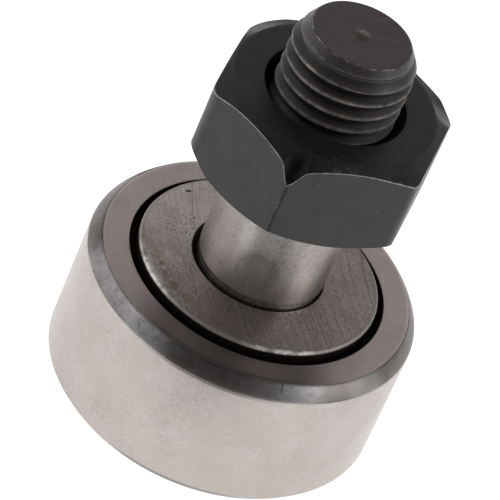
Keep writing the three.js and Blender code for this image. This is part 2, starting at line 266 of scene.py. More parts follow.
# ---------------------------------------------------------------- material helpers
class Shader:
    """A material's node tree, with short ways to add nodes. A socket, a number or a tuple may be
    given wherever a node takes a value."""

    def __init__(self, name):
        self.material = bpy.data.materials.new(name)
        self.material.use_nodes = True
        self.tree = self.material.node_tree
        self.tree.nodes.clear()
        coordinates = self.tree.nodes.new("ShaderNodeTexCoord")
        scale = self.tree.nodes.new("ShaderNodeVectorMath")
        scale.operation = "SCALE"
        scale.inputs["Scale"].default_value = 1 / MM
        self.tree.links.new(coordinates.outputs["Object"], scale.inputs[0])
        self.place = scale.outputs[0]  # the point in mm
        self.x, self.y, self.z = self.split(self.place)
        squares = self.add(self.multiply(self.x, self.x), self.multiply(self.y, self.y))
        self.radius = self.math("SQRT", squares)  # from the stud's axis
        self.turn = self.math("ARCTAN2", self.y, self.x)  # the angle round it, from +X
        self.upward = self.split(coordinates.outputs["Normal"])[2]

    def put(self, value, socket):
        if isinstance(value, bpy.types.NodeSocket):
            self.tree.links.new(value, socket)
        else:
            socket.default_value = value

    def math(self, operation, *values):
        node = self.tree.nodes.new("ShaderNodeMath")
        node.operation = operation
        for value, socket in zip(values, node.inputs):
            self.put(value, socket)
        return node.outputs[0]

    def add(self, a, b):
        return self.math("ADD", a, b)

    def multiply(self, a, b):
        return self.math("MULTIPLY", a, b)

    def split(self, vector):
        node = self.tree.nodes.new("ShaderNodeSeparateXYZ")
        self.put(vector, node.inputs[0])
        return node.outputs

    def join(self, x, y, z):
        node = self.tree.nodes.new("ShaderNodeCombineXYZ")
        for value, socket in zip((x, y, z), node.inputs):
            self.put(value, socket)
        return node.outputs[0]

    def stretch(self, kx, ky, kz):
        """The point in mm with each axis scaled, so that a noise there has a direction."""
        x, y, z = self.multiply(self.x, kx), self.multiply(self.y, ky), self.multiply(self.z, kz)
        return self.join(x, y, z)

    def noise(self, vector, scale, detail=3.0, rough=0.55):
        node = self.tree.nodes.new("ShaderNodeTexNoise")
        self.put(vector, node.inputs["Vector"])
        node.inputs["Scale"].default_value = scale
        node.inputs["Detail"].default_value = detail
        node.inputs["Roughness"].default_value = rough
        return node.outputs["Fac"]

    def cells(self, vector, scale):
        node = self.tree.nodes.new("ShaderNodeTexVoronoi")
        self.put(vector, node.inputs["Vector"])
        node.inputs["Scale"].default_value = scale
        return node.outputs["Distance"]

    def step(self, value, low, high, to_low=0.0, to_high=1.0):
        """A smooth step from to_low at low to to_high at high."""
        node = self.tree.nodes.new("ShaderNodeMapRange")
        node.interpolation_type = "SMOOTHSTEP"
        limits = (low, high, to_low, to_high)
        if high < low:
            limits = (high, low, to_high, to_low)
        self.put(value, node.inputs[0])
        for number, socket in zip(limits, list(node.inputs)[1:5]):
            self.put(number, socket)
        return node.outputs[0]

    def band(self, value, middle, half, soft):
        """1 within half of middle, falling to 0 over soft on both sides."""
        inside = self.step(value, middle - half - soft, middle - half)
        return self.multiply(inside, self.step(value, middle + half + soft, middle + half))

    def mix(self, share, a, b):
        node = self.tree.nodes.new("ShaderNodeMix")
        node.data_type = "RGBA"
        self.put(share, node.inputs[0])
        for value, socket in ((a, node.inputs[6]), (b, node.inputs[7])):
            if isinstance(value, tuple):
                value = (*value, 1.0)
            self.put(value, socket)
        return node.outputs[2]

    def attribute(self, name):
        node = self.tree.nodes.new("ShaderNodeAttribute")
        node.attribute_name = name
        return node.outputs["Fac"]

    def polar(self, x, y):
        """How far the point is from the upright line through (x, y), and its angle round it."""
        dx = self.math("SUBTRACT", self.x, x)
        dy = self.math("SUBTRACT", self.y, y)
        away = self.math("SQRT", self.add(self.multiply(dx, dx), self.multiply(dy, dy)))
        return away, self.math("ARCTAN2", dy, dx)

    def spot(self, x, y, reach, soft):
        """1 within reach of the upright line through (x, y), falling to 0 over soft."""
        return self.step(self.polar(x, y)[0], reach + soft, reach)

    def most(self, *values):
        """The largest of several masks."""
        result = values[0]
        for value in values[1:]:
            result = self.math("MAXIMUM", result, value)
        return result

    def arcs(self, x, y, fineness, detail=2.0):
        """Fine lines on circles round the point (x, y): the marks of a face grinder."""
        away, around = self.polar(x, y)
        line = self.join(self.multiply(away, fineness), self.multiply(around, 3.0), self.z)
        return self.noise(line, 1.0, detail, 0.6)

    def bump(self, height, depth):
        """depth is how many mm a height of 1 stands out."""
        node = self.tree.nodes.new("ShaderNodeBump")
        node.inputs["Distance"].default_value = depth * MM
        self.put(height, node.inputs["Height"])
        return node.outputs[0]

    def finish(self, colour, roughness, metallic=1.0, normal=None, **more):
        bsdf = self.tree.nodes.new("ShaderNodeBsdfPrincipled")
        output = self.tree.nodes.new("ShaderNodeOutputMaterial")
        if isinstance(colour, tuple):
            colour = (*colour, 1.0)
        self.put(colour, bsdf.inputs["Base Color"])
        self.put(roughness, bsdf.inputs["Roughness"])
        self.put(metallic, bsdf.inputs["Metallic"])
        if normal is not None:
            self.put(normal, bsdf.inputs["Normal"])
        for key, value in more.items():
            self.put(value, bsdf.inputs[key.replace("_", " ")])
        self.tree.links.new(bsdf.outputs[0], output.inputs["Surface"])
        return self.material


# ---------------------------------------------------------------- materials
def ring_steel():
    """Ground cylinder and faces, and tumbled chamfers, which are duller, with painted highlights and
    painted shade; painted shade also darkens the face at the front and the recess.
    """
    s = Shader("ring_steel")
    soft = s.noise(s.place, 0.35, 4.0)
    grain = s.noise(s.stretch(2.2, 2.2, 3.2), 1.6, 5.0, 0.7)
    fine = s.noise(s.stretch(1.2, 1.2, 26.0), 1.0, 3.0)
    blotch = s.noise(s.place, 0.45, 3.0)
    flecks = s.noise(s.place, 2.0, 5.0, 0.7)
    lines = s.most(s.arcs(38.0, 22.0, 9.0), s.multiply(s.arcs(-44.0, 12.0, 9.0), 0.92))
    # ground cylinder
    side = s.mix(s.step(soft, 0.3, 0.7), (0.418, 0.372, 0.352), (0.478, 0.430, 0.412))
    side = s.mix(s.step(grain, 0.47, 0.70, 0.0, 0.60), side, (0.55, 0.515, 0.50))
    side = s.mix(s.step(grain, 0.47, 0.28, 0.0, 0.55), side, (0.33, 0.295, 0.28))
    warm = s.step(s.noise(s.place, 0.22, 3.0), 0.42, 0.62, 0.0, 0.6)
    side = s.mix(warm, side, (0.450, 0.418, 0.380))
    # ground faces
    face = s.mix(s.step(lines, 0.40, 0.85), (0.62, 0.525, 0.50), (0.72, 0.625, 0.60))
    face = s.mix(s.step(blotch, 0.4, 0.75, 0.0, 0.40), face, (0.51, 0.425, 0.40))
    # painted shade: the face darkened at the front
    face = s.mix(s.multiply(s.spot(1.0, -11.5, 5.0, 4.5), 0.85), face, (0.20, 0.172, 0.162))
    # tumbled chamfers, dull, with painted highlights at the front and sides and painted shade at the
    # back left
    dull = s.mix(s.step(blotch, 0.35, 0.65), (0.125, 0.110, 0.104), (0.165, 0.152, 0.146))
    # painted reflection: the chamfer paler towards the front right
    dull = s.mix(s.band(s.x, 6.0, 1.5, 4.0), dull, (0.200, 0.182, 0.174))
    # painted highlights on the chamfer at the front left and front right, broken up by flecks
    painted_highlight = s.most(s.spot(-7.4, -9.8, 2.5, 3.5), s.spot(6.0, -11.0, 1.0, 2.5))
    painted_highlight = s.multiply(painted_highlight, s.step(flecks, 0.26, 0.62))
    dull = s.mix(s.multiply(painted_highlight, 0.8), dull, (0.262, 0.250, 0.255))
    # painted glints, brighter, near the same places and at the left
    bright = s.most(s.spot(-5.9, -11.0, 0.9, 2.2), s.spot(6.6, -10.7, 0.6, 2.0),
                    s.multiply(s.spot(-11.0, -6.0, 0.4, 1.8), 0.6))
    bright = s.multiply(bright, s.step(flecks, 0.24, 0.54))
    dull = s.mix(s.multiply(bright, 0.85), dull, (0.38, 0.365, 0.365))
    # painted highlight on the chamfer at the right
    dull = s.mix(s.multiply(s.spot(10.8, -6.5, 0.8, 1.8), 0.60), dull, (0.32, 0.305, 0.298))
    dull = s.mix(s.step(flecks, 0.56, 0.72, 0.0, 0.40), dull, (0.35, 0.34, 0.345))
    # painted shade on the chamfer at the back left
    dull = s.mix(s.multiply(s.spot(-9.6, 7.9, 2.5, 3.0), 0.9), dull, (0.075, 0.070, 0.067))
    nick = s.band(s.turn, -1.144, 0.0018, 0.002)
    nick = s.multiply(nick, s.step(s.z, RING_TOP - 0.7, RING_TOP - 0.5))
    dull = s.mix(nick, dull, (0.01, 0.009, 0.008))
    foot = RING_TOP - CHAMFER[1]
    inner = RING_RADIUS - CHAMFER[0]
    top = s.step(s.radius, inner - 0.05, inner + 0.04)
    top = s.multiply(s.step(s.z, foot - 0.02, foot + 0.03), top)
    foot = RING_BOTTOM + HEAD_CHAMFER[1]
    inner = RING_RADIUS - HEAD_CHAMFER[0]
    low = s.multiply(s.step(s.z, foot + 0.02, foot - 0.03), s.step(s.radius, inner - 0.05, inner))
    on_chamfer = s.most(top, low)
    on_side = s.step(s.radius, RING_RADIUS - 0.2, RING_RADIUS - 0.05)
    in_recess = s.step(s.radius, RECESS_RADIUS + 0.04, RECESS_RADIUS - 0.03)
    colour = s.mix(on_side, face, side)
    colour = s.mix(on_chamfer, colour, dull)
    # painted shade: the recess near black
    colour = s.mix(in_recess, colour, (0.018, 0.015, 0.013))
    roughness = s.step(on_side, 0.0, 1.0, 0.42, 0.34)
    roughness = s.step(on_chamfer, 0.0, 1.0, roughness, 0.40)
    roughness = s.add(roughness, s.multiply(s.math("SUBTRACT", blotch, 0.5), 0.12))
    height = s.mix(on_side, s.multiply(lines, 0.7), s.multiply(fine, 0.3))
    height = s.mix(on_chamfer, height, s.multiply(flecks, 1.0))
    # painted shade: a spot at the back left of the chamfer whose specular tint is cut, so it mirrors
    # less there
    back_left_shade = s.multiply(s.multiply(on_chamfer, s.spot(-10.2, 7.4, 1.6, 2.2)), 0.7)
    tint = s.mix(back_left_shade, (1.0, 1.0, 1.0), (0.2, 0.2, 0.2))
    return s.finish(colour, roughness, 1.0, s.bump(height, 0.008), Specular_Tint=tint)


def washer_steel():
    """A ground face with crossed scratches, pits, a little rust and a worn rim; painted shade and
    painted highlights lie on the face and the rim.
    """
    s = Shader("washer_steel")
    lines = s.most(s.arcs(46.0, 26.0, 14.0, 4.0), s.multiply(s.arcs(-30.0, 24.0, 9.0), 0.70))
    grain = s.noise(s.stretch(5.0, 3.2, 1.0), 1.0, 4.0, 0.7)
    blotch = s.noise(s.place, 0.5, 4.0)
    scuff = s.noise(s.place, 1.3, 4.0, 0.65)
    colour = s.mix(s.step(lines, 0.34, 0.80), (0.55, 0.475, 0.453), (0.93, 0.84, 0.81))
    colour = s.mix(s.step(grain, 0.50, 0.32, 0.0, 0.55), colour, (0.38, 0.335, 0.315))
    colour = s.mix(s.step(grain, 0.54, 0.72, 0.0, 0.40), colour, (0.98, 0.91, 0.87))
    # painted shade: darker towards the right
    colour = s.mix(s.step(s.x, -3.5, 3.5, 0.0, 0.70), colour, (0.40, 0.345, 0.325))
    # painted shade: darker at the front
    colour = s.mix(s.multiply(s.spot(-0.5, -7.5, 2.0, 5.0), 0.65), colour, (0.25, 0.215, 0.20))
    scored, polished = (0.12, 0.102, 0.095), (0.70, 0.64, 0.61)
    scratches = s.arcs(46.0, 20.0, 7.5, 4.0)
    colour = s.mix(s.step(scratches, 0.47, 0.30, 0.0, 0.75), colour, scored)
    colour = s.mix(s.step(scratches, 0.55, 0.70, 0.0, 0.55), colour, polished)
    stipple = s.noise(s.place, 3.4, 4.0, 0.7)
    colour = s.mix(s.step(stipple, 0.46, 0.30, 0.0, 0.80), colour, scored)
    colour = s.mix(s.step(stipple, 0.55, 0.70, 0.0, 0.60), colour, polished)
    colour = s.mix(s.step(blotch, 0.40, 0.68, 0.0, 0.45), colour, (0.36, 0.305, 0.285))
    colour = s.mix(s.step(scuff, 0.46, 0.30, 0.0, 0.50), colour, (0.32, 0.27, 0.25))
    # painted reflection: paler at the back left
    colour = s.mix(s.multiply(s.spot(-6.8, 2.5, 3.0, 3.0), 0.35), colour, (0.87, 0.78, 0.75))
    # rust at the rim, towards the front left
    rust = s.multiply(s.band(s.radius, 8.3, 0.2, 0.5), s.spot(-5.8, -6.0, 1.6, 2.4))
    rust = s.multiply(rust, s.step(s.noise(s.stretch(2.4, 1.6, 1.0), 1.0, 5.0, 0.7), 0.40, 0.58))
    colour = s.mix(s.multiply(rust, 0.8), colour, (0.33, 0.215, 0.145))
    # the rim darker all round, and worn bright in patches at the front left and front right, which
    # are also painted highlights
    rim = s.step(s.radius, WASHER_RADIUS - 0.34, WASHER_RADIUS - 0.16)
    broad = s.step(s.radius, WASHER_RADIUS - 0.62, WASHER_RADIUS - 0.22)
    worn = s.most(s.multiply(broad, s.spot(-7.2, -5.8, 1.0, 3.0)),
                  s.multiply(rim, s.spot(4.0, -8.3, 1.3, 2.2)))
    worn = s.multiply(worn, s.step(scuff, 0.34, 0.58))
    colour = s.mix(s.multiply(rim, 0.7), colour, (0.36, 0.33, 0.31))
    colour = s.mix(worn, colour, (0.88, 0.86, 0.83))
    # pits, mostly by the shank
    pits = s.step(s.noise(s.stretch(5.0, 2.8, 1.0), 1.0, 5.0, 0.75), 0.55, 0.63)
    marked = s.most(s.spot(-6.3, 0.4, 1.3, 1.4), s.spot(-6.4, -4.7, 0.5, 0.6),
                    s.spot(4.6, -4.8, 0.9, 1.2), s.spot(-2.6, -6.1, 0.7, 0.9),
                    s.spot(2.57, -4.55, 0.12, 0.1))
    pits = s.multiply(pits, marked)
    dash = s.most(s.spot(-7.32, 4.56, 0.08, 0.05), s.spot(-7.21, 4.64, 0.08, 0.05),
                  s.spot(-7.10, 4.72, 0.08, 0.05))
    dark = s.most(s.multiply(pits, 0.85), dash)
    # the countersink is dark; the wall below the rim's bevel, down in the gap to the ring, is
    # painted shade
    bore = s.step(s.radius, SHANK_RADIUS + 1.2, SHANK_RADIUS + 1.0)
    bore = s.multiply(bore, s.step(s.z, WASHER_TOP - 0.004, WASHER_TOP - 0.025))
    wall = s.step(s.z, WASHER_TOP - 0.20, WASHER_TOP - 0.34)
    colour = s.mix(s.most(dark, bore, wall), colour, (0.040, 0.032, 0.028))
    roughness = s.add(0.42, s.multiply(blotch, 0.16))
    roughness = s.step(rim, 0.0, 1.0, roughness, 0.60)
    height = s.add(s.add(s.multiply(lines, 0.7), s.multiply(grain, 0.5)), s.multiply(dark, -2.0))
    return s.finish(colour, roughness, 1.0, s.bump(height, 0.014))


def shank_steel():
    """Ground round the axis, so its gloss is drawn out along it."""
    s = Shader("shank_steel")
    soft = s.noise(s.stretch(0.8, 0.8, 0.35), 1.0, 4.0)
    lines = s.noise(s.stretch(0.5, 0.5, 22.0), 1.0, 3.0)
    blotch = s.noise(s.place, 0.8, 4.0)
    dots = s.step(s.cells(s.place, 1.8), 0.16, 0.07)
    dots = s.multiply(dots, s.step(s.noise(s.place, 0.5, 2.0), 0.54, 0.62))
    colour = s.mix(s.step(soft, 0.3, 0.7), (0.58, 0.545, 0.52), (0.66, 0.63, 0.60))
    colour = s.mix(s.step(blotch, 0.5, 0.75, 0.0, 0.30), colour, (0.46, 0.425, 0.40))
    # painted shade: darker towards the foot and the thread, in upright bands and along the right
    # edge; a painted highlight paler at the front
    height = s.math("SUBTRACT", s.z, WASHER_TOP)
    painted_shade_tone, shade_streak = (0.30, 0.275, 0.26), (0.27, 0.25, 0.24)
    colour = s.mix(s.step(height, 3.5, 0.8, 0.0, 0.45), colour, painted_shade_tone)
    colour = s.mix(s.step(height, 2.0, 6.5, 0.0, 0.75), colour, painted_shade_tone)
    # painted highlight: paler down the front
    front = s.multiply(s.band(s.x, -0.5, 0.7, 1.4), s.step(s.y, -1.0, -3.0))
    front = s.multiply(front, s.step(height, 1.6, 3.8, 0.0, 0.8))
    front = s.multiply(front, s.step(height, 4.5, 7.0, 1.0, 0.5))
    colour = s.mix(front, colour, (0.84, 0.80, 0.77))
    # painted shade in upright bands on the left and right of centre, and dark along the right edge
    colour = s.mix(s.step(s.x, -1.0, -3.4, 0.0, 0.42), colour, shade_streak)
    colour = s.mix(s.multiply(s.band(s.x, 1.7, 0.4, 0.9), 0.45), colour, shade_streak)
    colour = s.mix(s.step(s.x, 4.1, 4.8, 0.0, 0.6), colour, (0.10, 0.09, 0.085))
    colour = s.mix(s.multiply(dots, 0.7), colour, (0.12, 0.10, 0.09))
    # painted shade at the foot's left
    left_foot = s.multiply(s.step(height, 3.0, 0.5), s.step(s.x, -2.5, -4.5))
    colour = s.mix(s.multiply(left_foot, 0.6), colour, (0.22, 0.20, 0.19))
    grain = s.noise(s.stretch(3.0, 3.0, 4.5), 1.0, 4.0, 0.7)
    colour = s.mix(s.step(grain, 0.48, 0.30, 0.0, 0.55), colour, (0.22, 0.20, 0.19))
    colour = s.mix(s.step(grain, 0.55, 0.70, 0.0, 0.22), colour, (0.84, 0.81, 0.78))
    roughness = s.add(0.20, s.multiply(blotch, 0.12))
    around = s.tree.nodes.new("ShaderNodeTangent")
    around.direction_type = "RADIAL"
    around.axis = "Z"
    return s.finish(colour, roughness, 1.0, s.bump(lines, 0.004), Anisotropic=0.85,
                    Anisotropic_Rotation=0.25, Tangent=around.outputs[0])


WORN_RIM = (0.40, 0.39, 0.37)


def black_oxide(name, threaded=False):
    """Black oxide, worn through to dull steel on edges, and on the thread's crests."""
    s = Shader(name)
    blotch = s.noise(s.place, 0.6, 4.0)
    grain = s.noise(s.place, 9.0, 3.0)
    spots = s.step(s.noise(s.place, 2.6, 3.0), 0.68, 0.80)
    colour = s.mix(s.step(blotch, 0.3, 0.7), (0.0095, 0.0092, 0.0085), (0.019, 0.0182, 0.017))
    colour = s.mix(s.step(grain, 0.5, 0.8, 0.0, 0.45), colour, (0.038, 0.036, 0.034))
    edge = s.attribute("edge")
    scuff = s.noise(s.place, 1.1, 5.0, 0.65)
    chips = s.noise(s.place, 3.0, 4.0, 0.65)
    worn = s.step(s.add(edge, s.add(s.multiply(chips, 1.2), s.multiply(scuff, 0.9))), 1.56, 1.98)
    if not threaded:
        rubbed = s.most(s.spot(2.6, -7.9, 0.7, 1.1), s.spot(6.6, -6.0, 0.5, 0.9),
                        s.spot(-4.6, 3.4, 0.2, 0.5))
        chipped = s.multiply(s.step(chips, 0.52, 0.74), s.step(s.upward, 0.3, 0.6))
        rubbed = s.multiply(rubbed, chipped)
        worn = s.most(worn, s.multiply(rubbed, 0.32))
    bare = (0.42, 0.40, 0.37)
    if threaded:
        from_end = s.math("SUBTRACT", STUD_TOP - NIB_HEIGHT, s.z)
        lead = s.add(LEAD_RADIUS, s.multiply(from_end, (CREST_RADIUS - LEAD_RADIUS) / LEAD_LENGTH))
        depth = s.math("SUBTRACT", s.math("MINIMUM", CREST_RADIUS, lead), s.radius)
        crest = s.add(s.step(depth, 0.25, 0.04, 0.0, 0.5), s.step(depth, 0.11, 0.02, 0.0, 0.5))
        on_lead = s.step(from_end, LEAD_LENGTH, LEAD_LENGTH - 0.15)
        crest = s.multiply(crest, s.step(on_lead, 0.0, 1.0, 1.0, 0.12))
        rim = s.multiply(s.step(from_end, 0.12, 0.03), s.step(chips, 0.46, 0.62))
        worn = s.most(s.multiply(worn, 0.3), s.multiply(crest, s.step(scuff, 0.24, 0.76)), rim)
        bare = s.mix(rim, (0.31, 0.275, 0.255), WORN_RIM)
        colour = s.mix(0.5, colour, (0.026, 0.020, 0.0175))
    worn = s.most(s.multiply(worn, 0.8), s.multiply(spots, 0.22))
    colour = s.mix(worn, colour, bare)
    # painted shade: near black and without gloss in the thread's roots, the nut's bore and the dent
    # at its front corner, where the oxide is also never rubbed
    if threaded:
        dark = s.step(depth, 0.20, 0.70, 0.0, 0.8)
    else:
        dent_shade = s.multiply(s.spot(-0.5, -9.0, 0.5, 1.3), s.step(s.upward, 0.25, 0.5))
        dent_shade = s.multiply(dent_shade, s.step(worn, 0.0, 1.0, 0.75, 0.0))
        dark = s.most(s.step(s.radius, NUT_SINK, NUT_SINK - 0.08), dent_shade)
    colour = s.mix(dark, colour, (0.003, 0.0025, 0.002))
    shine = s.step(dark, 0.0, 1.0, 0.42, 0.02)
    roughness = s.add(0.36, s.multiply(grain, 0.14))
    height = s.add(s.multiply(grain, 0.8), s.multiply(blotch, 0.6))
    return s.finish(colour, roughness, s.multiply(worn, 0.8), s.bump(height, 0.014),
                    IOR=1.52, Specular_IOR_Level=shine)


def end_face_black():
    """The turned end of the stud: circular tool marks and scratches in brownish black."""
    s = Shader("end_face_black")
    turned = s.join(s.multiply(s.radius, 3.2), s.multiply(s.x, 0.25), s.multiply(s.y, 0.25))
    rings = s.noise(turned, 1.0, 4.0)
    blotch = s.noise(s.place, 0.7, 4.0)
    colour = s.mix(s.step(rings, 0.3, 0.75), (0.060, 0.050, 0.045), (0.084, 0.070, 0.064))
    colour = s.mix(s.step(blotch, 0.42, 0.66, 0.0, 0.8), colour, (0.078, 0.052, 0.051))
    scratches = s.arcs(14.0, -20.0, 5.0, 4.0)
    colour = s.mix(s.step(scratches, 0.52, 0.72, 0.0, 0.5), colour, (0.118, 0.103, 0.096))
    colour = s.mix(s.step(scratches, 0.46, 0.30, 0.0, 0.5), colour, (0.046, 0.038, 0.035))
    chips = s.step(s.noise(s.place, 3.0, 4.0, 0.65), 0.46, 0.62)
    worn = s.multiply(s.step(s.radius, LEAD_RADIUS - 0.10, LEAD_RADIUS - 0.03), chips)
    # the centre nib paler and more metallic: worn metal, and a painted highlight
    worn = s.most(worn, s.multiply(s.step(s.radius, 0.34, 0.20), 0.5))  # and the centre nib
    colour = s.mix(s.multiply(worn, 0.8), colour, WORN_RIM)
    normal = s.bump(s.add(s.multiply(rings, 0.15), s.multiply(blotch, 0.6)), 0.012)
    return s.finish(colour, 0.45, s.multiply(worn, 0.7), normal, IOR=1.5)


def plain_metal(name, light, dark, rough):
    """The hidden pieces' metals, with fine lines round the axis and paler edges."""
    s = Shader(name)
    lines = s.noise(s.stretch(1, 1, 12), 2.0, 3.0)
    blotch = s.noise(s.place, 0.9, 3.0)
    colour = s.mix(s.step(blotch, 0.35, 0.7), light, dark)
    worn = s.multiply(s.attribute("edge"), 0.35)
    colour = s.mix(worn, colour, tuple(min(1.0, c * 1.3) for c in light))
    roughness = s.add(rough, s.multiply(lines, 0.12))
    return s.finish(colour, roughness, 1.0, s.bump(lines, 0.006))


def floor_white():
    """A pale floor that lights itself, so that it stays white to the picture's edge."""
    s = Shader("floor_white")
    tone = s.step(s.noise(s.place, 0.004, 2.0), 0.3, 0.7, 0.86, 0.88)
    return s.finish(s.join(tone, tone, tone), 0.9, 0.0, None, **{
        "Emission_Color": (1.0, 1.0, 1.0, 1.0), "Emission_Strength": 0.92})


ring_look = ring_steel()
washer_look = washer_steel()
shank_look = shank_steel()
nut_look = black_oxide("nut_black")
thread_look = black_oxide("thread_black", threaded=True)
end_look = end_face_black()
cage_look = plain_metal("cage_sheet", (0.42, 0.41, 0.40), (0.34, 0.33, 0.32), 0.34)
needle_look = plain_metal("needle_lapped", (0.66, 0.65, 0.64), (0.60, 0.59, 0.58), 0.12)
brass_look = plain_metal("nipple_turned", (0.72, 0.56, 0.28), (0.58, 0.43, 0.20), 0.26)
wire_look = plain_metal("spring_wire", (0.60, 0.60, 0.60), (0.50, 0.50, 0.50), 0.24)


# ---------------------------------------------------------------- outer ring
def build_ring():
    """The ring in section: a recess in each face, and a collar between them for the needles."""
    depth = HEAD_THICKNESS - (RING_BOTTOM - STUD_BOTTOM) + SIDE_PLAY
    low = RING_BOTTOM + depth
    high = RING_TOP - depth
    r = RING_RADIUS
    corners = [
        (RECESS_RADIUS, RING_BOTTOM, 0.18),
        (r - HEAD_CHAMFER[0], RING_BOTTOM, 0.15),
        (r, RING_BOTTOM + HEAD_CHAMFER[1], 0.12),
        (r, RING_TOP - CHAMFER[1], 0.22),
        (r - 0.40 * CHAMFER[0], RING_TOP - 0.52 * CHAMFER[1], 0.45),
        (r - CHAMFER[0], RING_TOP, 0.24),
        (RECESS_RADIUS, RING_TOP, 0.10),
        (RECESS_RADIUS, high, 0.08),
        (RING_RACE, high, 0.15),
        (RING_RACE, low, 0.15),
        (RECESS_RADIUS, low, 0.08),
    ]
    mesh = lathe("outer_ring_fine", corners, columns=256)
    return piece("outer_ring_fine", mesh, "ring", "outer_ring", "ground_steel_ring", ring_look)


# ---------------------------------------------------------------- washer
def build_washer():
    bore = SHANK_RADIUS + WASHER_PLAY
    corners = [
        (bore, WASHER_BOTTOM, 0.05),
        (WASHER_RADIUS, WASHER_BOTTOM, 0.15),
        (WASHER_RADIUS, WASHER_TOP - WASHER_RIM, 0.07),
        (WASHER_RADIUS - WASHER_RIM, WASHER_TOP, 0.09),
        (bore + WASHER_SINK, WASHER_TOP, 0.08),
        (bore, WASHER_TOP - WASHER_SINK, 0.05),
    ]
    rows = outline(corners)

    def off_centre(index, turn):
        """The countersink is wide at the back left and almost nothing at the front right."""
        r, z, _ = rows[index]
        if r > bore + 2 * WASHER_SINK or z < WASHER_TOP - 2 * WASHER_SINK:
            return r, z
        share = 0.8 + 0.5 * math.cos(turn - math.radians(160))
        return bore + (r - bore) * share, WASHER_TOP - (WASHER_TOP - z) * share

    mesh = sweep("end_washer_fine", rows, 224, off_centre)
    return piece("end_washer_fine", mesh, "stud", "end_washer", "ground_steel_washer", washer_look)


# ---------------------------------------------------------------- stud
def helix_rod(bottom, top, columns=144):
    """A threaded rod as a closed mesh: each column is the thread's section, raised by its share
    of the pitch, so that the last column meets the first one a pitch further up."""
    depth = CREST_RADIUS - ROOT_RADIUS
    # along the axis in mm, and out from the root as a share of the depth
    section = [
        (0.00, 0.0), (0.10, 0.02), (0.17, 0.10), (0.45, 0.84),
        (0.52, 0.97), (0.625, 1.0), (0.73, 0.97), (0.80, 0.84), (1.08, 0.10), (1.15, 0.02),
    ]
    crest = 0.625
    first = math.floor((bottom - CREST_HEIGHT) / PITCH) - 1
    pitches = math.ceil((top - bottom) / PITCH) + 3
    base = CREST_HEIGHT - crest + first * PITCH
    per = len(section)
    rows = pitches * per + 1
    bm = bmesh.new()
    grid = []
    for c in range(columns):
        turn = TAU * c / columns
        column = []
        for row in range(rows):
            offset, rise = section[row % per]
            radius = ROOT_RADIUS + depth * rise
            z = base + offset + PITCH * (row // per + c / columns)
            column.append(bm.verts.new(
                (radius * math.cos(turn) * MM, radius * math.sin(turn) * MM, z * MM)))
        grid.append(column)

    def at(c, row):
        return grid[c][row] if c < columns else grid[0][row + per]

    for c in range(columns):
        last = rows - per if c == columns - 1 else rows
        for row in range(last - 1):
            bm.faces.new((at(c, row), at(c + 1, row), at(c + 1, row + 1), at(c, row + 1)))
    low = [at(c, 0) for c in range(columns)] + [at(0, row) for row in range(per, 0, -1)]
    high = [at(c, rows - 1) for c in range(columns - 1)]
    high += [at(columns - 1, row) for row in range(rows - 1, rows - 2 - per, -1)]
    low_centre = bm.verts.new((0, 0, (base - PITCH / 2) * MM))
    high_centre = bm.verts.new((0, 0, (base + PITCH * (pitches + 0.5)) * MM))
    for i, v in enumerate(low):
        bm.faces.new((low_centre, low[(i + 1) % len(low)], v))
    for i, v in enumerate(high):
        bm.faces.new((high_centre, v, high[(i + 1) % len(high)]))
    bmesh.ops.recalc_face_normals(bm, faces=bm.faces)
    mesh = bpy.data.meshes.new("helix_rod")
    bm.to_mesh(mesh)
    bm.free()
    return mesh


def block(x, y, low, high):
    """A box centred on the axis, x by y mm, from low to high."""
    bm = bmesh.new()
    bmesh.ops.create_cube(bm, size=1.0)
    bmesh.ops.scale(bm, vec=(x * MM, y * MM, (high - low) * MM), verts=bm.verts)
    bmesh.ops.translate(bm, vec=(0, 0, (low + high) / 2 * MM), verts=bm.verts)
    mesh = bpy.data.meshes.new("block")
    bm.to_mesh(mesh)
    bm.free()
    return mesh


def drum(radius, low, high, columns=96):
    return lathe("drum", [(0, low, 0), (radius, low, 0), (radius, high, 0), (0, high, 0)],
                 columns, closed=False, support=0.0)


